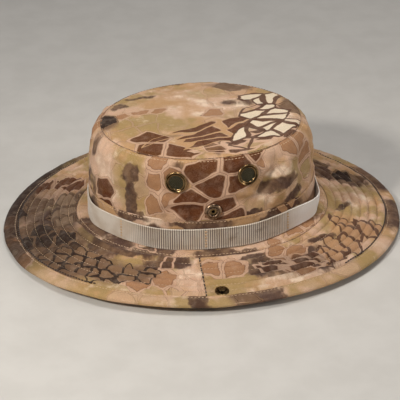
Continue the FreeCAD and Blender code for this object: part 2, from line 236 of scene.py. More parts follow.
def top_dome(r, angle):
    """The top panel: r is 0 in the middle and 1 at its seam."""
    x = TOP_X * r * np.cos(angle)
    y = TOP_Y * r * np.sin(angle)
    z = SEAM_Z + 3.4 - 3.0 * r**3.2 - 1.7 * smooth(0.955, 1.0, r)
    edge = bell((1 - r) * 80, 7)
    z = z + 0.28 * ripples(x, y, 30, 21) * (1 - r**6) + 0.07 * ripples(x, y, 9, 23)
    z = z + 0.7 * ripples(x, y, 70, 24) * (1 - r**4)
    z = z + 0.25 * edge * ripples(angle * 80, r * 20, 8, 25)
    return np.stack(np.broadcast_arrays(x, y, z), -1)


def brim_length(u):
    """Half the brim's length at u, which is 0 at the crown and 1 at the edge."""
    return ROOT_X + u * (EDGE_X - ROOT_X)


def brim_place(u, t):
    return brim_length(u) * np.cos(t), (ROOT_Y + u * BRIM_WIDTH) * np.sin(t)


def brim_plain(u, t, lift):
    """The brim: u is 0 at the crown and 1 at the edge, t goes round, lift is above its top."""
    x, y = brim_place(u, t)
    edge = (EDGE_LOW + EDGE_SIDE) / 2 + (EDGE_LOW - EDGE_SIDE) / 2 * np.cos(2 * t)
    return np.stack(np.broadcast_arrays(x, y, ROOT_Z + u * (edge - ROOT_Z) + lift), -1)


def off_stud(u, t, near, far):
    """0 where the brim is held flat by a stud, and 1 well away from it."""
    x, y = brim_place(u, t)
    return smooth(near, far, np.hypot(x, np.abs(y) - STUD_Y))


def brim_wave(u, t):
    """The slow waves of a soft brim, only upwards so that it stays on the table."""
    lobes = np.cos(3 * t + 0.6) * 0.5 + np.cos(5 * t - 1.1) * 0.35 + np.cos(2 * t + 2.4) * 0.3
    return (1.15 + lobes) * 0.85 * smooth(0.15, 1.0, u) * off_stud(u, t, 7, 50)


def brim_quilt(u, t, seed):
    """The puffed rings between rows of stitching, with small puckers across them."""
    f = (u - U_FACING) / (U_BINDING - U_FACING) * QUILT_GAPS
    inside = (f > 0) & (f < QUILT_GAPS)
    puff = np.where(inside, np.abs(np.sin(PI * f)) ** 0.6, 0)
    around = arc(wrapped(t)) * (1 + 0.7 * u)
    reach = u * BRIM_WIDTH
    ring = np.floor(np.clip(f, 0, QUILT_GAPS))
    uneven = 1 + 0.35 * ripples(around, ring * 40, 38, seed)
    pucker = ripples(around + 2 * reach, reach + ring * 33, 6.5, seed + 1, stretch=2.2)
    relief = 2.0 * puff * uneven + 0.32 * pucker * puff
    relief += 0.18 * ripples(around, reach, 15, seed + 2)
    relief *= off_stud(u, t, 6.3, 11.5)
    return relief - 0.45 * bell(brim_length(u) * np.cos(t) - SEAM_X, 0.9) * (u > U_FACING)


def brim_top(u, t, lift=0.0):
    return brim_plain(u, t, lift + 0.1 + brim_wave(u, t) + brim_quilt(u, t, 41))


def brim_under(u, t, lift=0.0):
    depth = BRIM_DEPTH - 0.1 + 0.8 * brim_quilt(u, t, 51)
    depth = np.where(u > U_BINDING, np.minimum(depth, BRIM_DEPTH), depth)
    return brim_plain(u, t, brim_wave(u, t) - depth - lift)


# ---------------------------------------------------------------- meshes


def grid_faces(rows, columns, closed=False, tube=False):
    """Faces of a grid: closed joins the ends of each row, tube joins the last row to the first."""
    i = np.arange(rows if tube else rows - 1)[:, None]
    j = np.arange(columns if closed else columns - 1)[None, :]
    here, beyond, after = i * columns, (i + 1) % rows * columns, (j + 1) % columns
    return np.stack([here + j, here + after, beyond + after, beyond + j], -1).reshape(-1, 4)


def vertex_normals(points, faces):
    a, b, c, d = (points[faces[:, k]] for k in range(4))
    n = np.cross(c - a, d - b)
    total = np.zeros_like(points)
    for k in range(4):
        np.add.at(total, faces[:, k], n)
    return total / np.maximum(np.linalg.norm(total, axis=1, keepdims=True), 1e-12)


def new_object(name, data):
    obj = bpy.data.objects.new(name, data)
    bpy.context.collection.objects.link(obj)
    return obj


def make_object(name, points, faces, uv, material, smooth_angle=50):
    mesh = bpy.data.meshes.new(name)
    mesh.from_pydata((points * MM).tolist(), [], [list(map(int, f)) for f in faces])
    if uv is not None:
        layer = mesh.uv_layers.new(name="Cloth")
        loops = np.empty(len(mesh.loops), np.int32)
        mesh.loops.foreach_get("vertex_index", loops)
        layer.data.foreach_set("uv", (uv[loops] * MM).astype(np.float32).ravel())
    mesh.materials.append(material)
    mesh.validate()
    mesh.shade_smooth()
    mesh.set_sharp_from_angle(angle=math.radians(smooth_angle))
    return new_object(name, mesh)


def shell(name, points, faces, thickness, uv, material):
    """A closed sheet of cloth: an outer face, an inner face and its edges."""
    used = np.unique(faces)
    renumber = np.full(len(points), -1)
    renumber[used] = np.arange(len(used))
    points, uv, faces = points[used], uv[used], renumber[faces]
    normals = vertex_normals(points, faces)
    count = len(points)
    edges = {}
    for face in faces.tolist():
        for k in range(4):
            a, b = face[k], face[(k + 1) % 4]
            if (b, a) in edges:
                del edges[(b, a)]
            else:
                edges[(a, b)] = True
    rim = [[b, a, a + count, b + count] for a, b in edges]
    everything = np.vstack([faces, faces[:, ::-1] + count, np.array(rim)])
    both = np.vstack([points, points - normals * thickness])
    return make_object(name, both, everything, np.vstack([uv, uv]), material)


def stitches(lines, length=2.3, gap=0.75, radius=0.25):
    """Thread along lines of (points, normals), as one set of small rounded stitches."""
    stations = np.array([0, 0.16, 0.5, 0.84, 1.0])
    fat = np.array([0.35, 0.9, 1.0, 0.9, 0.35])
    rise = np.array([-0.9, 0.1, 0.75, 0.1, -0.9])
    corners = np.arange(5) * 2 * PI / 5
    all_points, all_faces, base = [], [], 0
    for points, normals in lines:
        s = np.concatenate([[0], np.cumsum(np.linalg.norm(np.diff(points, axis=0), axis=1))])
        count = max(1, int(s[-1] / (length + gap)))
        pitch = s[-1] / count
        along = (np.arange(count)[:, None] + 0.5) * pitch + (stations - 0.5) * length
        p = np.stack([np.interp(along, s, points[:, k]) for k in range(3)], -1)
        n = np.stack([np.interp(along, s, normals[:, k]) for k in range(3)], -1)
        n /= np.linalg.norm(n, axis=-1, keepdims=True)
        way = p[:, -1:] - p[:, :1]
        way = way / np.maximum(np.linalg.norm(way, axis=-1, keepdims=True), 1e-9)
        across = np.cross(way, n)
        ring = (
            p[:, :, None]
            + n[:, :, None] * (radius * (rise[:, None] + fat[:, None] * np.sin(corners)))[..., None]
            + across[:, :, None] * (radius * 1.25 * fat[:, None] * np.cos(corners))[..., None]
        )
        all_points.append(ring.reshape(-1, 3))
        one = grid_faces(5, 5, closed=True)
        starts = base + np.arange(count)[:, None, None] * 25
        all_faces += (one[None] + starts).reshape(-1, 4).tolist()
        for start in starts.ravel().tolist():
            all_faces.append([start + k for k in (0, 1, 2, 3, 4)])
            all_faces.append([start + k for k in (24, 23, 22, 21, 20)])
        base += count * 25
    return np.vstack(all_points), all_faces


def along_surface(surface, us, ts, lift=0.0):
    """Points and outward normals of a line on a surface given by two parameters."""
    us, ts = np.broadcast_arrays(np.asarray(us, float), np.asarray(ts, float))
    points = surface(us, ts, lift)
    du = surface(us + 1e-3, ts, lift) - points
    dt = surface(us, ts + 1e-3, lift) - points
    n = np.cross(du, dt)
    return points, n / np.linalg.norm(n, axis=-1, keepdims=True)


def declare(obj, nodes=(), flap=None):
    """Hides the nodes a piece stands in for; a flap's piece only gets its transform baked in, any other
    piece hangs on the crown's body.
    """
    if nodes:
        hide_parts(*nodes)
    if flap:
        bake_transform(obj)
    else:
        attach(obj, "crown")


def sew(name, lines, thread, sizes=(), nodes=(), flap=None):
    """Makes one piece of all the stitches along some lines."""
    points, faces = stitches(lines, *sizes)
    obj = make_object(name, points, faces, None, thread)
    declare(obj, nodes, flap)


# ---------------------------------------------------------------- materials


def srgb(r, g, b):
    return tuple(
        ((v / 255 + 0.055) / 1.055) ** 2.4 if v > 10 else v / 255 / 12.92 for v in (r, g, b)
    ) + (1.0,)


TAN = srgb(188, 148, 106)
KHAKI = srgb(166, 138, 90)
PINK = srgb(206, 170, 144)
CREAM = srgb(234, 210, 186)
WHITE = srgb(232, 214, 188)
OUTLINE = srgb(198, 162, 136)
SCALE_TAN = srgb(180, 138, 100)
PLUM = srgb(92, 60, 44)
GREY_CELL = srgb(160, 132, 106)
DULL_TAN = srgb(132, 102, 76)
HAIRLINE = srgb(112, 72, 50)
CELL_TAN = srgb(164, 120, 86)
RUST = srgb(90, 47, 21)
DARK = srgb(76, 52, 44)
DARKEST = srgb(44, 30, 24)
MURK = srgb(120, 92, 70)


class Nodes:
    """Builds a material's node tree in short calls that give back output sockets."""

    def __init__(self, name):
        self.material = bpy.data.materials.new(name)
        self.material.use_nodes = True
        self.tree = self.material.node_tree
        self.shader = self.tree.nodes["Principled BSDF"]

    def node(self, kind, inputs, **settings):
        """Adds a node; its inputs are given by number or name, each as a value or a socket."""
        node = self.tree.nodes.new("ShaderNode" + kind)
        for key, value in settings.items():
            setattr(node, key, value)
        for key, value in inputs.items():
            self.put(node.inputs[key], value)
        return node

    def put(self, socket, value):
        if isinstance(value, bpy.types.NodeSocket):
            self.tree.links.new(value, socket)
        elif value is not None:
            socket.default_value = value

    def add(self, kind, *values, out=0, **settings):
        return self.node(kind, dict(enumerate(values)), **settings).outputs[out]

    def calc(self, operation, *values):
        return self.add("Math", *values, operation=operation)

    def plus(self, first, second):
        return self.calc("ADD", first, second)

    def times(self, first, second):
        return self.calc("MULTIPLY", first, second)

    def vector(self, operation, *values, out=0):
        return self.add("VectorMath", *values, operation=operation, out=out)

    def mix(self, factor, first, second, blend="MIX"):
        inputs = {0: factor, 6: first, 7: second}
        return self.node("Mix", inputs, data_type="RGBA", blend_type=blend).outputs[2]

    def band(self, value, low, high, top=1.0):
        """Changes smoothly from 0 at the low value to the top at the high one, in either order."""
        return self.add("MapRange", value, low, high, 0.0, top, interpolation_type="SMOOTHSTEP")

    def noise(self, vector, scale, detail=3.0, rough=0.55, colour=False):
        inputs = {"Vector": vector, "Scale": scale, "Detail": detail, "Roughness": rough}
        return self.node("TexNoise", inputs).outputs[1 if colour else 0]

    def mapped(self, kind, vector, turn, size, middle=(0, 0, 0)):
        """Coordinates moved, turned and stretched (TEXTURE), or turned back (POINT)."""
        return self.add("Mapping", vector, middle, (0, 0, math.radians(turn)), size, vector_type=kind)

    def bump(self, height, strength, distance):
        """A normal roughened by a height; the distance is in millimetres."""
        inputs = {"Strength": strength, "Distance": distance * MM, "Height": height}
        return self.node("Bump", inputs).outputs[0]

    def cloth_place(self):
        """The place on the cloth, from the mesh."""
        return self.node("UVMap", {}, uv_map="Cloth").outputs[0]

    def set(self, **values):
        for key, value in values.items():
            self.put(self.shader.inputs[key.replace("_", " ")], value)


def wandered(n, vector, scale, reach):
    """The same place on the cloth, moved a little by noise."""
    away = n.vector("SUBTRACT", n.noise(vector, scale, colour=True), (0.5, 0.5, 0.5))
    return n.vector("ADD", vector, n.vector("SCALE", away, None, None, reach))


def zone(n, vector, blobs, noise_scale=0.0, level=0.6, soft=0.06, seed=0.0):
    """A mask of soft ovals at places on the cloth, with noise elsewhere.

    Each oval has a middle, two half widths and, if need be, a turn in degrees and a strength."""
    total = 0.0
    if noise_scale:
        moved = n.vector("ADD", vector, (seed, seed * 1.7, 0))
        total = n.band(n.noise(moved, noise_scale, 2.0), level - soft, level + soft)
    for x, y, wide, tall, *rest in blobs:
        turn = rest[0] if rest else 0
        strength = rest[1] if len(rest) > 1 else 1.0
        inside = n.mapped("TEXTURE", vector, turn, (wide * MM, tall * MM, 1), (x * MM, y * MM, 0))
        oval = n.band(n.vector("LENGTH", inside, out=1), 1.25, 0.6, strength)
        total = n.calc("MAXIMUM", total, oval)
    return total


def cells(n, base, vector, mask_of, size, fill, line, hair=None, width=1.5, share=0.8,
          roundness=0.75, stretch=(0, 1), other=None, corner=0.72, rounding=0.1, wander=0.012,
          wander_scale=50.0):
    """Lays a net of printed cells over a colour, each with its own outline.

    A cell is printed whole wherever its middle lies in the mask. Sizes are in millimetres."""
    turn, longer = stretch
    place = n.mapped("TEXTURE", wandered(n, vector, wander_scale, wander), turn, (longer, 1, 1))
    inputs = {"Vector": place, "Scale": 1 / (size * MM), "Randomness": roundness}
    edge_node = n.node("TexVoronoi", inputs, voronoi_dimensions="2D", feature="DISTANCE_TO_EDGE")
    cell_node = n.node("TexVoronoi", inputs, voronoi_dimensions="2D", feature="F1")
    to_edge, of_cell = edge_node.outputs["Distance"], cell_node.outputs["Color"]
    rounded = n.calc("SUBTRACT", corner, cell_node.outputs["Distance"])
    d = n.times(n.calc("SMOOTH_MIN", to_edge, rounded, rounding), size)
    uneven = n.times(n.noise(vector, 60.0, 2.0), 1.3)
    d = n.calc("DIVIDE", d, n.plus(uneven, 0.35))
    centre = n.mapped("POINT", cell_node.outputs["Position"], turn, (longer, 1, 1))
    mask = n.band(mask_of(centre), 0.46, 0.54)
    if other:
        fill = n.mix(n.band(n.add("SeparateColor", of_cell, out=1), 0.52, 0.56), fill, other)
    filled = n.band(n.add("SeparateColor", of_cell), share, share - 0.04)
    inside = n.band(d, width + 0.15, width + 0.45)
    grain = n.band(n.noise(vector, 900.0, 2.0), 0.2, 0.75)
    fade = n.plus(n.times(grain, 0.16), 0.84)
    printed = n.times(n.times(inside, filled), n.times(mask, fade))
    result = n.mix(printed, base, fill)
    pale = n.times(n.band(d, width + 0.3, width - 0.1), mask)
    result = n.mix(n.times(pale, 0.94), result, line)
    if not hair:
        return result
    rim = n.times(n.band(d, width - 0.15, width + 0.15), n.band(d, width + 0.75, width + 0.35))
    middle = n.band(n.times(to_edge, size), 0.34, 0.1)
    lines = n.calc("MAXIMUM", n.times(rim, 0.7), n.times(middle, 0.6))
    return n.mix(n.times(lines, mask), result, hair)


def printed_cloth(name, seed=0.0, murky=0.0, pale=(), olive=(), smudge_and_painted_shade=(), net=(), small_net=(),
                  rust=(), rust_turn=18, scale=(), dark=(), grey=(), small_dark=(), streak=(),
                  plum_streak=(), white=(), streak_turn=26, painted_shade_and_dark_print=(), rust_shift=(0, 0)):
    """Matte ripstop with a print of clouds, smudges and nets of cells, each kind at its own ovals; some
    smudge and shade ovals are painted shade.
    """
    n = Nodes(name)
    at = n.cloth_place()
    offset = (seed, seed * 0.6, 0)
    place = n.vector("ADD", at, offset)
    fine = n.noise(place, 70.0, 4.0, 0.6)
    brushed = {"wander": 0.03, "wander_scale": 16.0}

    def where(blobs, reach=0.02):
        """Soft-edged places on the cloth, with uneven edges."""
        return zone(n, wandered(n, at, 42.0, reach), blobs)

    def whole(blobs, moved=offset, noise_scale=0.0, level=0.0, salt=0.0):
        """A mask for the cells whose middles lie in some places."""
        return lambda centre: zone(
            n, n.vector("SUBTRACT", centre, moved), blobs, noise_scale, level, 0.01, salt)

    def marks(under, blobs, *look, **shape):
        """Prints one kind of cells, if this cloth has any."""
        return cells(n, under, place, whole(blobs), *look, **shape) if blobs else under

    # Clouds: tan ground, pink and cream drifts, olive shade.
    big = n.noise(place, 22.0)
    colour = n.mix(n.band(big, 0.44, 0.56), TAN, PINK)
    colour = n.mix(n.band(big, 0.58, 0.7, 0.8), colour, CREAM)
    other = n.noise(n.vector("ADD", place, (3.1, 1.7, 0)), 24.0, 3.0, 0.6)
    colour = n.mix(n.band(other, 0.50, 0.60, 0.9), colour, KHAKI)
    if pale:
        soft = n.times(where(pale, 0.012), n.band(fine, 0.2, 0.6, 0.9))
        colour = n.mix(soft, colour, n.mix(n.band(fine, 0.45, 0.65), PINK, CREAM))
    if olive:
        soft = n.times(where(olive, 0.012), n.band(fine, 0.25, 0.6, 0.9))
        colour = n.mix(soft, colour, KHAKI)
    colour = n.mix(n.times(n.band(fine, 0.56, 0.74), 0.5), colour, CREAM)

    # Faint cells under everything, then soft dark smudges with brushed edges: printed smudges, and at
    # some ovals painted shade.
    faint = cells(n, colour, place, lambda centre: zone(n, centre, (), 14.0, 0.52, 0.1, 2.0), 23,
                  PINK, OUTLINE, HAIRLINE, width=0.9, share=0.3)
    colour = n.mix(0.55, colour, faint)
    brush = n.noise(n.vector("MULTIPLY", place, (1.0, 0.4, 1.0)), 330.0)
    soft = zone(n, place, (), 19.0, 0.66 - murky, 0.07, 5.0)
    if smudge_and_painted_shade:
        soft = n.calc("MAXIMUM", soft, where(smudge_and_painted_shade, 0.03))
    ragged = n.band(n.plus(n.times(brush, 0.8), soft), 0.62, 1.25)
    colour = n.mix(n.times(ragged, 0.95), colour, n.mix(n.band(fine, 0.4, 0.65), DARK, MURK))

    colour = cells(n, colour, place, whole(net, offset, 12.0, 0.6, 1.0), 19, CELL_TAN, OUTLINE,
                   HAIRLINE, width=1.9, roundness=0.7, share=0.85, rounding=0.2)
    colour = marks(colour, small_net, 10, CELL_TAN, OUTLINE, width=0.9, stretch=(10, 1.5))
    rust_offset = (seed + rust_shift[0] * MM, seed * 0.6 + rust_shift[1] * MM, 0)
    colour = cells(n, colour, n.vector("ADD", at, rust_offset),
                   whole(rust, rust_offset, 11.0, 0.72, 4.0), 17, RUST, OUTLINE, HAIRLINE, width=1.2,
                   share=1.0, stretch=(rust_turn, 1.6), roundness=0.6, corner=0.74, rounding=0.24,
                   wander=0.02, wander_scale=18.0)
    colour = marks(colour, scale, 12, SCALE_TAN, PLUM, width=1.4, share=1.0, stretch=(-56, 2.3),
                   roundness=0.85, corner=1.2, wander=0.03, wander_scale=18.0)
    if grey:
        colour = n.mix(where(grey), colour, DARK)
    colour = marks(colour, grey, 19, GREY_CELL, MURK, DARKEST, width=1.5, share=0.97)
    if dark:
        colour = n.mix(n.times(where(dark), n.band(fine, 0.1, 0.5, 0.95)), colour, MURK)
    colour = marks(colour, dark, 20, DARKEST, DULL_TAN, DARKEST, width=1.3, share=1.0, other=MURK)
    if small_dark:
        colour = n.mix(where(small_dark), colour, MURK)
    colour = marks(colour, small_dark, 10.5, DULL_TAN, DARKEST, width=0.9, share=0.6,
                   stretch=(-35, 1.3))
    colour = marks(colour, plum_streak, 7, PLUM, PINK, width=0.8, stretch=(streak_turn - 8, 4.2),
                   roundness=0.6, corner=1.0, **brushed)
    colour = marks(colour, streak, 8.5, RUST, TAN, width=0.55, share=0.95,
                   stretch=(streak_turn, 4.8), roundness=0.6, corner=0.85, **brushed)
    colour = marks(colour, white, 11.5, WHITE, PLUM, width=1.35, share=0.9,
                   stretch=(streak_turn + 4, 1.9), roundness=0.95, corner=1.0, **brushed)
    # Painted shade: the cloth is darkened towards DARKEST at the shade ovals; where one marks darker
    # print, it says so at the cloth.
    if painted_shade_and_dark_print:
        soft = n.times(zone(n, at, painted_shade_and_dark_print), n.band(fine, 0.1, 0.5, 0.95))
        colour = n.mix(soft, colour, DARKEST)

    # Printed cotton: slight fading, a yarn-by-yarn mottle and the ripstop's thicker yarns.
    worn = n.noise(place, 150.0)
    colour = n.mix(n.band(worn, 0.45, 0.8, 0.1), colour, CREAM)
    yarn = n.noise(n.vector("MULTIPLY", place, (1.0, 5.0, 1.0)), 700.0, 2.0)
    yarn2 = n.noise(n.vector("MULTIPLY", place, (5.0, 1.0, 1.0)), 700.0, 2.0)
    mottle = n.plus(n.times(n.plus(yarn, yarn2), 0.66), 0.36)
    colour = n.mix(1.0, colour, n.add("CombineColor", mottle, mottle, mottle), blend="MULTIPLY")

    x, y = (n.add("SeparateXYZ", place, out=k) for k in (0, 1))
    weave = [n.calc("SINE", n.times(value, 2 * PI / (YARN * MM))) for value in (x, y)]
    height = n.times(*weave)
    for value in (x, y):
        thick = n.band(n.calc("PINGPONG", value, RIPSTOP * MM), 0.28 * MM, 0.1 * MM, 1.6)
        height = n.calc("MAXIMUM", height, thick)
    height = n.plus(height, n.times(n.noise(place, 1400.0, 2.0), 1.2))
    n.set(Base_Color=colour, Roughness=0.92, Normal=n.bump(height, 0.4, 0.25), Sheen_Weight=0.06,
          Sheen_Roughness=0.5, Specular_IOR_Level=0.18)
    return n.material


def plain_cloth(name, colour, second, scale=300.0, rough=0.9, sheen=0.3):
    """Undyed or dyed cloth with a fine uneven weave."""
    n = Nodes(name)
    where = n.add("TexCoord", out=3)
    mottled = n.mix(n.band(n.noise(where, scale, 4.0), 0.3, 0.7), colour, second)
    patchy = n.mix(n.band(n.noise(where, 35.0), 0.4, 0.75, 0.4), mottled, second)
    n.set(Base_Color=patchy, Roughness=rough, Normal=n.bump(n.noise(where, 2200.0, 2.0), 0.4, 0.3),
          Sheen_Weight=sheen, Specular_IOR_Level=0.3)
    return n.material


def worn_metal(name, low, high, rough=0.34):
    """Antiqued brass: dark in its hollows and rubbed bright where it stands proud."""
    n = Nodes(name)
    where = n.add("TexCoord", out=3)
    proud = n.add("NewGeometry", out=7)
    blotch = n.noise(where, 420.0, 4.0, 0.6)
    rub = n.band(n.plus(proud, n.times(blotch, 0.25)), 0.56, 0.75)
    colour = n.mix(rub, low, high)
    colour = n.mix(n.band(blotch, 0.5, 0.72, 0.5), colour, low)
    roughness = n.plus(n.times(blotch, 0.3), rough - 0.12)
    normal = n.bump(n.noise(where, 1500.0), 0.25, 0.2)
    n.set(Base_Color=colour, Metallic=1.0, Roughness=roughness, Normal=normal)
    return n.material


SIDE_CLOTH = printed_cloth(
    "crown_side_print",
    pale=[(-102, 80, 15, 16), (-90, 60, 10, 11, 0, 0.9), (58, 84, 18, 8, -10), (44, 60, 13, 10, 0, 0.8),
          (76, 58, 10, 14, 0, 0.8)],
    olive=[(-76, 76, 17, 28), (-58, 60, 16, 10), (36, 52, 14, 7, 20, 0.9)],
    # The smudge at (64, 70), right of the front vent, is partly a printed smudge and partly painted
    # shade of the fold there.
    smudge_and_painted_shade=[(-76, 84, 9, 13), (-74, 60, 7, 18, 4), (64, 70, 24, 9, 8), (-100, 50, 8, 10, 0, 0.8),
            (80, 50, 18, 5, 20, 0.8), (90, 96, 14, 6, -20, 0.7), (36, 51, 12, 4, 8, 0.9),
            (-62, 50, 12, 4, -20, 0.8)],
    rust=[(2, 84, 34, 20, 12), (28, 96, 30, 12, 14), (-12, 54, 22, 12, 10), (20, 50, 16, 9),
          (-98, 48, 24, 12, -20), (-34, 50, 16, 8)],
    net=[(-44, 86, 19, 20, 10), (-40, 62, 22, 12), (-8, 66, 18, 8), (98, 80, 20, 30)],
    rust_shift=(9, 3),
)
TOP_CLOTH = printed_cloth(
    "crown_top_print", seed=0.13,
    pale=[(18, 18, 40, 20, 10), (-10, 42, 24, 12, 0, 0.9), (58, -8, 34, 36)],
    olive=[(-40, -20, 38, 22), (12, 44, 22, 10, 0, 0.8), (-62, 34, 20, 10, 20, 0.9)],
    smudge_and_painted_shade=[(-70, 30, 8, 6, 10, 0.8), (-48, 44, 16, 5, 20, 0.7), (30, -48, 26, 7, 16, 0.8)],
    dark=[(-82, 0, 9, 15), (34, 60, 22, 8, -10), (82, 16, 7, 12)],
    small_net=[(-58, 12, 28, 8)],
    rust=[(-40, -50, 32, 14, -30), (-4, -64, 36, 11, -6)], rust_turn=-24,
    streak=[(8, -30, 50, 20, 26), (-22, -48, 28, 11)],
    plum_streak=[(36, -48, 44, 15, 20), (58, -40, 30, 12, 24)],
    white=[(64, -14, 27, 34), (44, -38, 30, 11, 24), (64, 26, 26, 16, -20)],
)
BAND_CLOTH = printed_cloth(
    "crown_band_print", seed=0.31, murky=0.06,
    smudge_and_painted_shade=[(-12, 44, 30, 6), (68, 43, 28, 8), (-72, 46, 24, 6, 0, 0.9)],
    rust=[(-102, 43, 18, 8)],
    scale=[(78, 43, 22, 8)],
)
BRIM_BACK_CLOTH = printed_cloth(
    "brim_back_print", seed=0.47,
    pale=[(-24, -118, 13, 20), (-60, -122, 34, 9, -16, 0.8)],
    olive=[(-104, -108, 40, 7, -36), (-60, -132, 30, 8, -16), (-130, 18, 16, 10)],
    smudge_and_painted_shade=[(-40, -96, 24, 13, 10), (-90, -64, 22, 18, -40), (-72, -76, 26, 9, -30, 0.9)],
    dark=[(-150, -34, 22, 34, 20), (-126, -42, 22, 24), (-158, 30, 16, 32)],
    grey=[(-124, -2, 30, 22), (-112, 22, 22, 16)],
    small_dark=[(-116, -80, 46, 20, -40), (-76, -104, 28, 12, -22)],
    net=[(-62, -120, 34, 7, -16), (-96, -62, 16, 12, -40)],
    rust=[(-114, 46, 20, 12), (-138, 66, 20, 14)],
    # The shade ovals are painted shade over the left end of the brim, beside the crown.
    painted_shade_and_dark_print=[(-158, -10, 50, 110, 0, 0.5), (-96, -40, 20, 26, -30, 0.5)],
)
BRIM_FRONT_CLOTH = printed_cloth(
    "brim_front_print", seed=0.77,
    pale=[(24, -106, 16, 10, 0, 0.9), (140, -6, 16, 14), (56, -130, 26, 8, 14, 0.9),
          (92, -110, 14, 10, 30, 0.9)],
    olive=[(4, -130, 30, 12), (128, 12, 22, 8, 0, 0.9), (34, -104, 16, 8, 0, 0.8)],
    # The smudges at (132, 42), (112, 62) and (100, 76), behind the crown, are painted shade; the others
    # are printed smudges.
    smudge_and_painted_shade=[(52, -110, 36, 15, 8), (132, 42, 32, 16, -20), (112, 62, 26, 15, -50),
            (80, -98, 20, 12, 30), (126, -22, 16, 5, 60, 0.8), (96, -72, 14, 5, 40, 0.9),
            (36, -98, 26, 5, 6, 0.8), (100, 76, 30, 12, -50)],
    plum_streak=[(60, -110, 30, 10, 8)],
    scale=[(108, -84, 36, 22, 38), (134, -56, 26, 30), (84, -94, 22, 13, 30)],
    net=[(2, -118, 18, 17)],
    rust=[(162, -16, 8, 11), (70, -134, 22, 3, 24)],
    dark=[(140, 44, 14, 9, -30)], streak_turn=10,
    # This shade oval is a darker patch of the print.
    painted_shade_and_dark_print=[(66, -112, 40, 15, 8, 0.38)],
)
FACING_CLOTH = printed_cloth(
    "crown_foot_print", seed=1.13,
    pale=[(40, -84, 20, 8, 10, 0.8)],
    smudge_and_painted_shade=[(-98, -30, 24, 18, -40), (-52, -80, 26, 9, 0, 0.8), (10, -92, 32, 8),
            (-78, -60, 20, 12, -40, 0.9)],
    net=[(92, -52, 30, 18, 30)],
)
BINDING_CLOTH = printed_cloth(
    "brim_edge_print", seed=1.61,
    # The smudges at -270 and 760 and both shade ovals are painted shadow over the binding at the brim's
    # left end; the other smudges are print.
    smudge_and_painted_shade=[(36, 20, 16, 60), (-270, 20, 60, 90), (760, 20, 120, 90), (-20, 8, 10, 12),
            (230, 20, 26, 60, 0, 0.9), (300, 20, 30, 60, 0, 0.9)],
    dark=[(14, 2, 12, 12)],
    olive=[(-130, 20, 90, 60, 0, 0.7), (110, 20, 60, 60, 0, 0.7)],
    painted_shade_and_dark_print=[(-262, 20, 84, 120, 0, 0.92), (740, 20, 140, 120, 0, 0.92)],
    rust=[(288, 6, 9, 8)],
)
INSIDE_CLOTH = plain_cloth("sweatband_cotton", srgb(150, 132, 98), srgb(126, 108, 78))
TAPE_CLOTH = plain_cloth("seam_tape_twill", srgb(134, 118, 88), srgb(110, 94, 68), 500.0)
LABEL_CLOTH = plain_cloth("label_weave", srgb(216, 210, 196), srgb(196, 190, 176), 600.0, 0.7)
THREAD = plain_cloth("tan_thread", srgb(222, 192, 158), srgb(176, 144, 110), 900.0, 0.6)
# Dark brown stitches laid as a line in a ditch: painted shadow.
DITCH_SHADOW_THREAD = plain_cloth("ditch_painted_shadow", srgb(64, 44, 32), srgb(36, 25, 18), 900.0, 0.75)
# Brown stitches laid as lines in a ditch and a crease: painted shadow.
SEAM_SHADOW_THREAD = plain_cloth("seam_painted_shadow", srgb(118, 88, 64), srgb(86, 62, 44), 900.0, 0.75)
BRASS = worn_metal("antique_brass", srgb(30, 22, 15), srgb(186, 152, 106), 0.2)
DARK_BRASS = worn_metal("dark_brass", srgb(30, 24, 17), srgb(150, 124, 86), 0.28)
SOCKET_METAL = worn_metal("antique_bronze", srgb(52, 38, 28), srgb(190, 160, 132), 0.26)
SCREEN_METAL = worn_metal("vent_screen_wire", srgb(30, 28, 22), srgb(108, 102, 82), 0.45)


def webbing_material():
    """Grey-tan grosgrain with a few worn brown marks, painted shade in the grooves between its ribs, a
    painted highlight along both edges and painted light near its front end.
    """
    n = Nodes("grosgrain_webbing")
    at = n.cloth_place()
    grey, warm = srgb(216, 204, 190), srgb(196, 178, 158)
    colour = n.mix(n.band(n.noise(at, 40.0), 0.38, 0.66), grey, warm)
    marks = zone(n, at, [(17, 30, 6, 2.6, 45), (43, 32, 8, 2.4, 6)], 55.0, 0.74, 0.04)
    worn = n.times(marks, n.band(n.noise(at, 260.0), 0.35, 0.7, 0.55))
    colour = n.mix(worn, colour, srgb(110, 84, 62))
    s, z = (n.add("SeparateXYZ", at, out=k) for k in (0, 1))
    phase = n.calc("COSINE", n.times(s, 2 * PI * RIBS / CROWN_ROUND / MM))
    patchy = n.band(n.noise(at, 26.0, 2.0), 0.32, 0.6)
    strength = n.plus(n.times(patchy, 0.4), 0.6)
    strength = n.times(strength, n.band(n.calc("ABSOLUTE", s), 80 * MM, 56 * MM))
    # Painted shade: the grooves between the ribs are darkened, only within about 80 mm of the middle of
    # the right side.
    colour = n.mix(n.times(n.band(phase, 0.15, -0.7), strength), colour, srgb(78, 58, 44))
    # Painted light: from 66 to 92 mm past the middle of the right side, towards the front, the strap is
    # lightened almost to white.
    colour = n.mix(n.band(s, 66 * MM, 92 * MM, 0.85), colour, srgb(246, 244, 242))
    # Painted highlight: the outermost half millimetre along both edges is lightened.
    edge = n.calc("ABSOLUTE", n.calc("SUBTRACT", z, 30 * MM))
    colour = n.mix(n.band(edge, 9.0 * MM, 9.5 * MM, 0.5), colour, srgb(232, 222, 208))
    yarn = n.calc("SINE", n.times(z, 2 * PI / (0.5 * MM)))
    height = n.plus(n.times(yarn, 0.4), n.noise(at, 1200.0, 2.0))
    n.set(Base_Color=colour, Roughness=0.6, Normal=n.bump(height, 0.5, 0.3), Sheen_Weight=0.3,
          Specular_IOR_Level=0.45)
    return n.material


WEBBING_CLOTH = webbing_material()

# ---------------------------------------------------------------- crown


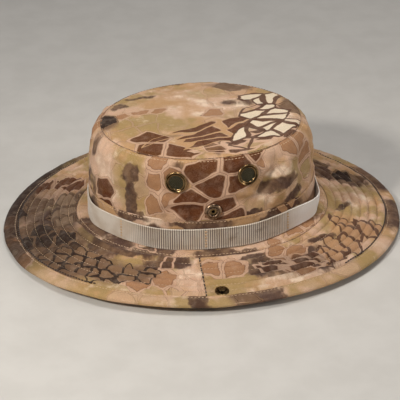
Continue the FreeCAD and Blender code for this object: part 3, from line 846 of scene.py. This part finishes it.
def crown_side(side_name, side):
    """One side panel, from the front seam to the back seam, with holes for its metal."""
    angles = np.linspace(-PI, 0, 330) if side < 0 else np.linspace(0, PI, 330)
    heights = steps((19.4, 96, 66), (97, SEAM_Z, 9))
    z, t = spread(heights, angles)
    a, b = wall_radii(z)
    x, y = a * np.cos(t), b * np.sin(t)
    holes = [VENTS[(side_name, end)] + (VENT_HOLE,) for end in ENDS]
    holes.append((0.0, SNAP_Z, SNAP_HOLE))
    inside = np.zeros(len(z), bool)
    for cx, cz, radius in holes:
        r = np.hypot(x - cx, z - cz)
        within = (r < radius) & (y * side > 0)
        inside |= within
        grow = np.where(within, radius / np.maximum(r, 0.05), 1)
        z = np.where(within, cz + (z - cz) * grow, z)
        turned = side * np.arccos(np.clip((cx + (x - cx) * grow) / wall_radii(z)[0], -1, 1))
        t = np.where(within, turned, t)
    faces = grid_faces(len(heights), len(angles))
    faces = faces[~inside[faces].all(axis=1)]
    points = wall(t, z, wall_relief(t, z))
    uv = np.stack([arc(t) if side < 0 else arc(t) - 2 * arc(0.0) - 40, z], -1)
    obj = shell(f"crown_side_cloth_{side_name}", points, faces, CROWN_CLOTH, uv, SIDE_CLOTH)
    declare(obj, [f"crown_side_panel_{side_name}"])


for side_name, side in SIDES.items():
    crown_side(side_name, side)

rings = steps((0.012, 0.93, 56), (0.94, 1.0, 10))
angles = np.linspace(0, 2 * PI, 420, endpoint=False)
points = top_dome(*spread(rings, angles))
faces = grid_faces(len(rings), len(angles), closed=True)[:, ::-1]
top = shell("crown_top_cloth", points, faces, CROWN_CLOTH, points[:, :2], TOP_CLOTH)
declare(top, ["crown_top_panel"])


def ring_piece(name, surface, heights, thickness, material, node):
    """A band of cloth that goes all round the crown."""
    angles = all_round(720)
    z, t = spread(heights, angles)
    faces = grid_faces(len(heights), len(angles), closed=True)
    obj = shell(name, surface(z, t), faces, thickness, np.stack([arc(t), z], -1), material)
    declare(obj, [node])


def band_surface(z, t):
    s = arc(t)
    fold = 0.35 * smooth(BAND_TOP - 3.0, BAND_TOP - 0.8, z) - 0.5 * smooth(BAND_TOP - 0.7, BAND_TOP, z)
    pucker = 0.22 * ripples(s, z, 6.5, 61, stretch=3) * bell(z - BAND_TOP + 2, 5)
    drift = 0.35 * ripples(s, 0 * s, 60, 62) * smooth(30, BAND_TOP, z)
    return wall(t, z + drift, 0.95 + fold + pucker + 0.12 * ripples(s, z, 15, 63))


ring_piece("crown_band_cloth", band_surface,
           steps((19.4, 44, 20), (44.8, BAND_TOP, 9)), 0.6, BAND_CLOTH, "crown_base_band")
ring_piece("sweatband_cotton",
           lambda z, t: wall(t, z, -1.05 + 0.12 * ripples(arc(t), z, 12, 71)
                             - 0.5 * bell(z - 46, 1.0) - 0.3 * bell(z - 19, 1.0)),
           np.linspace(17.2, 47.8, 40), 1.1, INSIDE_CLOTH, "sweatband")
ring_piece("crown_seam_tape_cloth",
           lambda z, t: wall(t, z, wall_relief(t, z) - 1.0),
           np.linspace(96.3, 101.2, 9), 0.7, TAPE_CLOTH, "crown_seam_tape")


def facing_surface(z, t):
    """The strip round the crown's foot; its first argument is the reach out from the crown."""
    s = arc(t)
    edge = 0.55 * smooth(FACING - 2.6, FACING - 1.2, z) - 0.65 * smooth(FACING - 0.9, FACING + 0.2, z)
    puff = 0.75 * np.sin(PI * np.clip(z / FACING, 0, 1)) ** 0.8 * (1 + 0.3 * ripples(s, z, 30, 81))
    pucker = 0.2 * ripples(s + z, z, 6.0, 82, stretch=2.5)
    drift = 0.3 * ripples(s, 0 * s, 45, 83) * smooth(5, FACING, z)
    return brim_plain((z + drift) / BRIM_WIDTH, t, 0.75 + edge + puff + pucker)


def facing_piece():
    angles = all_round(760)
    reaches = steps((1.0, 8.6, 12), (9.1, FACING + 0.2, 8))
    points = facing_surface(*spread(reaches, angles))
    faces = grid_faces(len(reaches), len(angles), closed=True)[:, ::-1]
    obj = shell("crown_foot_facing_cloth", points, faces, 0.55, points[:, :2], FACING_CLOTH)
    declare(obj, ["crown_foot_facing"])


facing_piece()


def label_piece():
    """A blank woven label sewn to the sweatband at the back."""
    across = np.linspace(-15.5, 15.5, 26)
    heights = np.linspace(24.5, 43.5, 16)
    z, y = spread(heights, across)
    t = PI - np.arcsin(y / ROOT_Y)
    points = wall(t, z, -2.35 + 0.1 * ripples(y, z, 9, 91))
    faces = grid_faces(len(heights), len(across))
    obj = shell("blank_label", points, faces, 0.3, np.stack([y, z], -1), LABEL_CLOTH)
    declare(obj, ["size_label"])


label_piece()

# ---------------------------------------------------------------- webbing


def stand_off(t):
    """How far the strap's back is from the wall: close at each tack and looser between."""
    lobe = 0.5 - 0.5 * np.cos(TACKS * (t - FIRST_TACK))
    ends = smooth(0.45, 0.95, np.abs(np.cos(t)))
    loose = 1.5 + 2.6 * ends * (np.cos(t) > 0) + 1.0 * ends * (np.cos(t) <= 0)
    return 1.05 + loose * lobe**1.4


def strap(z, t, out=0.0):
    around = wrapped(t)
    s = arc(around)
    tilt = (z - 30) * 0.012 * ripples(s, 0 * s, 70, 101)
    tilt = tilt + 3.4 * bell(around - LOOP_MIDDLE, 0.24) * smooth(18, 36, z)
    sway = 0.4 * ripples(s, 0 * s, 85, 102)
    return wall(t, z + sway, stand_off(t) + tilt + out)


def strap_normal(z, t):
    return wall(t, z, 1.0) - wall(t, z, 0.0)


def webbing_piece():
    columns = RIBS * 4
    t = all_round(columns)
    s = arc(t)
    rib = 0.5 + 0.5 * np.cos(2 * PI * RIBS * s / CROWN_ROUND)
    z = np.array([20.05, 20.35, 21.0, 21.4, 23.5, 27, 30, 33, 36.5, 38.6, 39.0, 39.65, 39.95])
    body = np.array([0.45, 0.85, 1.0, 0.86, 0.9, 0.9, 0.9, 0.9, 0.9, 0.86, 1.0, 0.85, 0.45])
    ribbed = np.array([0.6, 1, 0.6, 1, 1, 1, 1, 1, 1, 1, 0.6, 1, 0.6])
    zz, tt = np.meshgrid(z, t, indexing="ij")
    away = np.abs(np.sin(TACKS * (t - FIRST_TACK) / 2)) * 2 / TACKS * ROOT_X
    pulled = 0.6 * bell(away, 0.9)
    ribs = 0.5 * (1 - rib) * (1 - 0.65 * smooth(52, 78, np.abs(s)))
    front = strap(zz, tt, body[:, None] - ribbed[:, None] * (ribs + pulled)[None, :])
    back = strap(zz, tt, 0.05 + 0.0 * zz)
    rows = np.concatenate([front, back[::-1]])
    faces = grid_faces(len(rows), columns, closed=True, tube=True)
    both = np.concatenate([zz, zz[::-1]])
    uv = np.stack([np.tile(s, len(rows)), both.ravel()], -1)
    obj = make_object("branch_loop_strap", rows.reshape(-1, 3), faces, uv, WEBBING_CLOTH, 75)
    declare(obj, ["branch_loop_webbing"])
    lines = []
    for k in range(TACKS):
        angle = FIRST_TACK + 2 * PI * k / TACKS
        zs = np.linspace(21.6, 38.4, 30)
        for shift in (0.0, 0.009):
            points = strap(zs, np.full(30, angle + shift), 0.62)
            lines.append((points, strap_normal(zs, np.full(30, angle))))
    sew("webbing_tack_stitches", lines, THREAD, (2.1, 0.5, 0.42), ["webbing_tacks"])


webbing_piece()

# ---------------------------------------------------------------- brim


def seam_angle(u, shift=0.0):
    """The angle of the seam between the brim's front and back, or of a line beside it."""
    return np.arccos((SEAM_X + shift) / brim_length(u))


def brim_sheet(name, surface, side_name, panel, material, flip, nodes):
    """One ply of a quarter of the brim, from the crown to its binding."""
    side = SIDES[side_name]
    starts, ends = (-0.008, *U_ROWS[:-1]), (U_FACING, *U_ROWS[1:])
    counts = (6,) + (8,) * QUILT_GAPS
    us = steps(*((a, b, count, False) for a, b, count in zip(starts, ends, counts)),
               (U_BINDING, 0.997, 6))
    vs = np.linspace(0, 1, 330)
    u, v = spread(us, vs)
    seam = seam_angle(u)
    gap = 0.05 / brim_length(u)
    if panel == "front":
        t = v * (seam - gap)
    else:
        t = (seam + gap) + v * (PI - seam - gap)
    t = t * side
    faces = grid_faces(len(us), len(vs))
    if (side > 0) != flip:
        faces = faces[:, ::-1]
    plain = brim_plain(u, t, 0)
    obj = shell(name, surface(u, t), faces, BRIM_CLOTH, plain[:, :2], material)
    declare(obj, nodes, side_name)


for side_name in SIDES:
    for panel, cloth in (("front", BRIM_FRONT_CLOTH), ("back", BRIM_BACK_CLOTH)):
        upper, lower = [], []
        if side_name == "right":
            upper, lower = [f"brim_upper_{panel}"], [f"brim_lower_{panel}"]
        if panel == "front":
            for part in ("fold", "flap"):
                upper += [f"brim_upper_{part}_{side_name}"]
                lower += [f"brim_{ply}_{part}_{side_name}" for ply in ("lower", "interlining")]
            lower += ["brim_interlining_centre"] if side_name == "right" else []
        for ply, surface, nodes in (("top", brim_top, upper), ("under", brim_under, lower)):
            brim_sheet(f"brim_{ply}_cloth_{panel}_{side_name}", surface, side_name, panel, cloth,
                       ply == "under", nodes)

# The binding's cut, round its outside and back along its inside: distance out from the brim's edge,
# and height above the brim's top.
BINDING_CUT = np.array([
    (-10.6, 0.95), (-10.2, 1.35), (-9.6, 1.3), (-9.0, 0.85), (-8.2, 1.2), (-6.6, 1.6), (-4.6, 1.65),
    (-2.6, 1.45), (-0.8, 0.9), (0.35, -0.05), (0.75, -1.1), (0.45, -2.0), (-0.6, -2.65),
    (-2.6, -2.85), (-5.0, -2.9), (-8.0, -2.85), (-10.3, -2.8), (-10.4, -2.4), (-8.0, -2.45),
    (-5.0, -2.45), (-2.0, -2.3), (-0.5, -1.7), (-0.2, -1.1), (-0.7, -0.2), (-2.6, 0.75),
    (-4.6, 0.95), (-6.6, 0.9), (-8.2, 0.6), (-9.0, 0.35), (-9.8, 0.5),
])


def binding_point(k, t, lift=0.0):
    """A point of the binding's outer face: k counts along its cut."""
    index = np.arange(len(BINDING_CUT))
    reach, up = (np.interp(k, index, column) for column in BINDING_CUT.T)
    u = 1 + reach / BRIM_WIDTH
    around = arc(wrapped(t)) * BINDING_STRETCH
    on_top = smooth(11.5, 8.0, k)
    pucker = 0.16 * ripples(around + 3 * reach, reach, 7.0, 111, stretch=2.0)
    slack = 0.25 * ripples(around, 0 * around, 40, 112)
    up = up + on_top * (pucker + slack * 0.6) * smooth(0.3, 1.0, up + 0.9)
    u = u + 0.35 * ripples(around, 0 * around, 55, 113) / BRIM_WIDTH
    return brim_plain(u, t, up + brim_wave(np.minimum(u, 1.0), t) + lift)


def binding_piece(side_name):
    side = SIDES[side_name]
    count = len(BINDING_CUT)
    ts = np.linspace(0, PI, 620) * side
    k, t = spread(np.arange(count), ts)
    columns = len(ts)
    faces = grid_faces(count, columns, tube=True)
    first_cap = [i * columns for i in range(count)]
    last_cap = [i * columns + columns - 1 for i in range(count)]
    if side > 0:
        listed = faces[:, ::-1].tolist() + [first_cap, last_cap[::-1]]
    else:
        listed = faces.tolist() + [first_cap[::-1], last_cap]
    width = np.concatenate([[0], np.cumsum(np.hypot(*np.diff(BINDING_CUT, axis=0).T))])
    uv = np.stack([arc(t) * BINDING_STRETCH, width[k]], -1)
    points = binding_point(k.astype(float), t)
    obj = make_object(f"brim_edge_binding_{side_name}", points, listed, uv, BINDING_CLOTH)
    nodes = [f"edge_binding_flap_{side_name}", f"edge_binding_fold_{side_name}"]
    nodes.append("edge_binding_front" if side_name == "right" else "edge_binding_back")
    declare(obj, nodes, side_name)


for side_name in SIDES:
    binding_piece(side_name)

# ---------------------------------------------------------------- stitching


def upright(rows, way=1):
    """Lines of stitches whose normals all point up, or all down when way is -1."""
    return [(points, way * normals * np.sign(normals[:, 2:])) for points, normals in rows]


for side_name, side in SIDES.items():
    t = np.linspace(0.002, PI - 0.002, 900) * side
    seam_u = np.linspace(U_FACING + 0.01, U_BINDING, 120)
    seam_t = seam_angle(seam_u, -1.4) * side
    rows = [along_surface(brim_top, u, t) for u in U_ROWS[1:-1]]
    rows.append(along_surface(binding_point, 3.0, t))
    rows.append(along_surface(brim_top, seam_u, seam_t))
    sew(f"brim_top_stitching_{side_name}", upright(rows), THREAD, flap=side_name)
    # Painted shadow: a near-continuous dark brown line in the ditch inside the binding, all along the
    # back half, at the ends of the front half and beside the panel seam.
    spans = [t] if side > 0 else [t[np.cos(t) > 0.66], t[np.cos(t) < -0.62]]
    rows = [along_surface(brim_top, U_BINDING - 0.012, span) for span in spans]
    rows.append(along_surface(brim_top, seam_u, seam_t - side * 0.004))
    sew(f"binding_ditch_painted_shadow_{side_name}", upright(rows), DITCH_SHADOW_THREAD, (3.0, 0.12, 0.5),
        flap=side_name)
    rows = [along_surface(brim_under, u, t) for u in U_ROWS[1:]]
    sew(f"brim_under_stitching_{side_name}", upright(rows, -1), THREAD, flap=side_name)


def wall_line(z, surface, t, way=1):
    """A line of stitches round the crown, facing out of it, or into it when way is -1."""
    zs = np.full_like(t, z)
    return surface(zs, t), way * strap_normal(zs, t)


t = np.linspace(-PI, PI, 1800)
straight_up = np.tile([0.0, 0.0, 1.0], (len(t), 1))
sew("crown_stitching", [
    wall_line(100.6, lambda z, t: wall(t, z, wall_relief(t, z) + 0.05), t),
    wall_line(BAND_TOP - 1.7, band_surface, t),
    wall_line(45.6, lambda z, t: wall(t, z, -2.3), t, -1),
    (facing_surface(np.full_like(t, FACING - 1.5), t), straight_up),
], THREAD)
# Painted shadow: near-continuous brown lines in the ditch at the crown's foot and along the top seam.
sew("crown_seam_painted_shadow", [
    (along_surface(brim_top, U_FACING + 0.008, t)[0], straight_up),
    (wall(t, SEAM_Z - 0.35, -1.0), strap_normal(SEAM_Z - 1, t)),
], SEAM_SHADOW_THREAD, (3.0, 0.12, 0.22))

# ---------------------------------------------------------------- metal


def local_frame(node):
    """A round piece's middle, and the turn that points its axis out of the wall it is set in."""
    low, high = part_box(node)
    centre = (low + high) / 2 / MM
    side = 1 if centre.y > 0 else -1
    t = side * math.acos(max(-1, min(1, centre.x / wall_radii(centre.z)[0])))
    here = Vector(wall(t, centre.z, 0.0))
    out = (Vector(wall(t, centre.z, 1.0)) - here).normalized()
    return np.array(here), np.array(out.to_track_quat("Z", "Y").to_matrix())


def turned_metal(name, profile, place, node, material, sides=72):
    """A pressed ring: its profile turned about its own axis."""
    here, turn = local_frame(place)
    angles = np.linspace(0, 2 * PI, sides, endpoint=False)
    radius, height = (np.array(column)[:, None] for column in zip(*profile))
    rows = np.stack([radius * np.cos(angles), radius * np.sin(angles), height + 0 * angles], -1)
    points = rows.reshape(-1, 3) @ turn.T + here
    faces = grid_faces(len(profile), sides, closed=True, tube=True)
    obj = make_object(name, points, faces, None, material)
    declare(obj, [node])


# Profiles of the crown's rings (radius, height off the wall): a rolled rim outside, a lip inside.
EYELET_PROFILE = [(7.0, -3.15), (8.3, -3.15), (8.3, -2.8), (7.4, -2.8), (7.4, 0.05), (9.3, 0.05),
                  (9.6, 0.35), (9.6, 0.9), (9.3, 1.35), (8.85, 1.55), (8.35, 1.4), (7.95, 1.05),
                  (7.6, 0.85), (7.2, 1.0), (6.8, 1.05), (6.45, 0.9), (6.3, 0.65), (6.45, 0.45),
                  (7.0, 0.35)]
SOCKET_PROFILE = [(2.7, 0.05), (7.1, 0.05), (7.5, 0.5), (7.5, 1.3), (7.1, 2.0), (6.3, 2.45),
                  (5.5, 2.3), (4.9, 2.25), (4.3, 2.7), (3.8, 2.75), (3.4, 2.4), (3.3, 1.8),
                  (3.3, 0.6), (2.7, 0.5)]


def screen_piece(side_name, end):
    """A vent's screen: fine wires woven over and under each other, bowed out a little."""
    here, turn = local_frame(f"vent_screen_{side_name}_{end}")
    pitch, radius, rim = 0.8, 0.23, 6.95
    weave, bulge, sunk = 0.16, 0.5, 0.15
    lines = np.arange(-8, 9) * pitch
    corners = np.arange(6) * PI / 3
    points, faces, base = [], [], 0
    for way in (0, 1):
        for index, offset in enumerate(lines):
            reach = math.sqrt(max(rim**2 - offset**2, 0.2))
            s = np.linspace(-reach, reach, max(6, int(reach * 5)))
            wave = weave * np.cos(PI * s / pitch + PI * (index + way))
            bow = bulge * (1 - (s**2 + offset**2) / rim**2)
            middle = np.stack([s, np.full_like(s, offset), wave + bow - sunk], -1)
            ring = middle[:, None] + radius * np.stack(
                [0 * corners, np.cos(corners), np.sin(corners)], -1)[None]
            if way:
                ring = ring[..., [1, 0, 2]]
            points.append(ring.reshape(-1, 3))
            side_faces = grid_faces(len(s), 6, closed=True) + base
            tip = base + (len(s) - 1) * 6
            caps = [list(range(base, base + 6)), list(range(tip + 5, tip - 1, -1))]
            if way:
                side_faces = side_faces[:, ::-1]
                caps = [c[::-1] for c in caps]
            faces += side_faces.tolist() + caps
            base += len(s) * 6
    points = np.vstack(points) @ turn.T + here
    obj = make_object(f"vent_woven_screen_{side_name}_{end}", points, faces, None, SCREEN_METAL)
    declare(obj, [f"vent_screen_{side_name}_{end}"])


def finish_node(node, material):
    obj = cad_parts[node]
    obj.data.materials.clear()
    obj.data.materials.append(material)


for side_name in SIDES:
    for end in ENDS:
        screen_piece(side_name, end)
        turned_metal(f"vent_rolled_ring_{side_name}_{end}", EYELET_PROFILE,
                     f"vent_screen_{side_name}_{end}", f"vent_eyelet_{side_name}_{end}",
                     BRASS)
        finish_node(f"vent_washer_{side_name}_{end}", BRASS)
    turned_metal(f"snap_pressed_ring_{side_name}", SOCKET_PROFILE, f"snap_socket_{side_name}",
                 f"snap_socket_{side_name}", SOCKET_METAL)
    finish_node(f"snap_socket_cap_{side_name}", DARK_BRASS)
    finish_node(f"snap_stud_{side_name}", DARK_BRASS)
    finish_node(f"snap_stud_cap_{side_name}", BRASS)

# ---------------------------------------------------------------- camera, floor and light


def add_camera():
    azimuth, elevation, roll = math.radians(-6.4), math.radians(28.2), math.radians(-0.9)
    distance, focal, sensor = 1.442, 145.4, 36.0
    aimed_up, aimed_across = 0.075, 0.005  # as shares of the frame's width
    back = Vector((math.sin(azimuth) * math.cos(elevation),
                   -math.cos(azimuth) * math.cos(elevation), math.sin(elevation)))
    place = Vector((0, 0, 0.0515)) + back * distance
    right = Vector((math.cos(azimuth), math.sin(azimuth), 0))
    up = back.cross(right)
    frame_width = sensor / focal
    back = (back + up * aimed_up * frame_width + right * aimed_across * frame_width).normalized()
    right = (right - back * right.dot(back)).normalized()
    up = back.cross(right)
    right, up = (right * math.cos(roll) + up * math.sin(roll),
                 up * math.cos(roll) - right * math.sin(roll))
    data = bpy.data.cameras.new("photo_camera")
    data.lens, data.sensor_width = focal, sensor
    data.clip_start, data.clip_end = 0.05, 20
    camera = new_object("photo_camera", data)
    camera.matrix_world = Matrix((
        (right.x, up.x, back.x, place.x), (right.y, up.y, back.y, place.y),
        (right.z, up.z, back.z, place.z), (0, 0, 0, 1)))
    bpy.context.scene.camera = camera


def add_light(name, place, target, size, power, colour):
    data = bpy.data.lights.new(name, "AREA")
    data.shape, data.size, data.energy, data.color = "DISK", size, power, colour
    obj = new_object(name, data)
    obj.location = place
    obj.rotation_euler = (Vector(place) - Vector(target)).to_track_quat("Z", "Y").to_euler()


def add_floor():
    n = Nodes("pale_floor")
    where = n.add("TexCoord", out=3)
    patches = n.band(n.noise(where, 30.0), 0.3, 0.7)
    tone = n.mix(patches, (0.62, 0.6, 0.57, 1), (0.66, 0.64, 0.61, 1))
    n.set(Base_Color=tone, Roughness=0.9)
    mesh = bpy.data.meshes.new("floor")
    reach, below = 6.0, -0.0004
    corners = [(x * reach, y * reach, below) for x, y in ((-1, -1), (1, -1), (1, 1), (-1, 1))]
    mesh.from_pydata(corners, [], [(0, 1, 2, 3)])
    mesh.materials.append(n.material)
    floor = new_object("floor", mesh)


add_camera()
add_floor()
add_light("key_left", (-0.68, -0.62, 0.72), (0, 0, 0.06), 0.13, 7.9, (1.0, 0.95, 0.87))
add_light("overhead", (0.05, -0.1, 0.62), (0, 0, 0.06), 0.2, 1.3, (1.0, 0.96, 0.9))
add_light("right_low", (2.2, -0.7, 0.8), (0, 0, 0.05), 0.6, 14.0, (1.0, 0.94, 0.86))
add_light("back_right", (0.5, 1.1, 0.9), (0, 0, 0.05), 0.5, 1.6, (1.0, 0.95, 0.87))
world = bpy.data.worlds.new("studio")
world.use_nodes = True
sky = world.node_tree.nodes["Background"]
sky.inputs["Color"].default_value = (0.9, 0.93, 1.0, 1)
sky.inputs["Strength"].default_value = 0.16
bpy.context.scene.world = world
bpy.context.scene.view_settings.view_transform = "Standard"
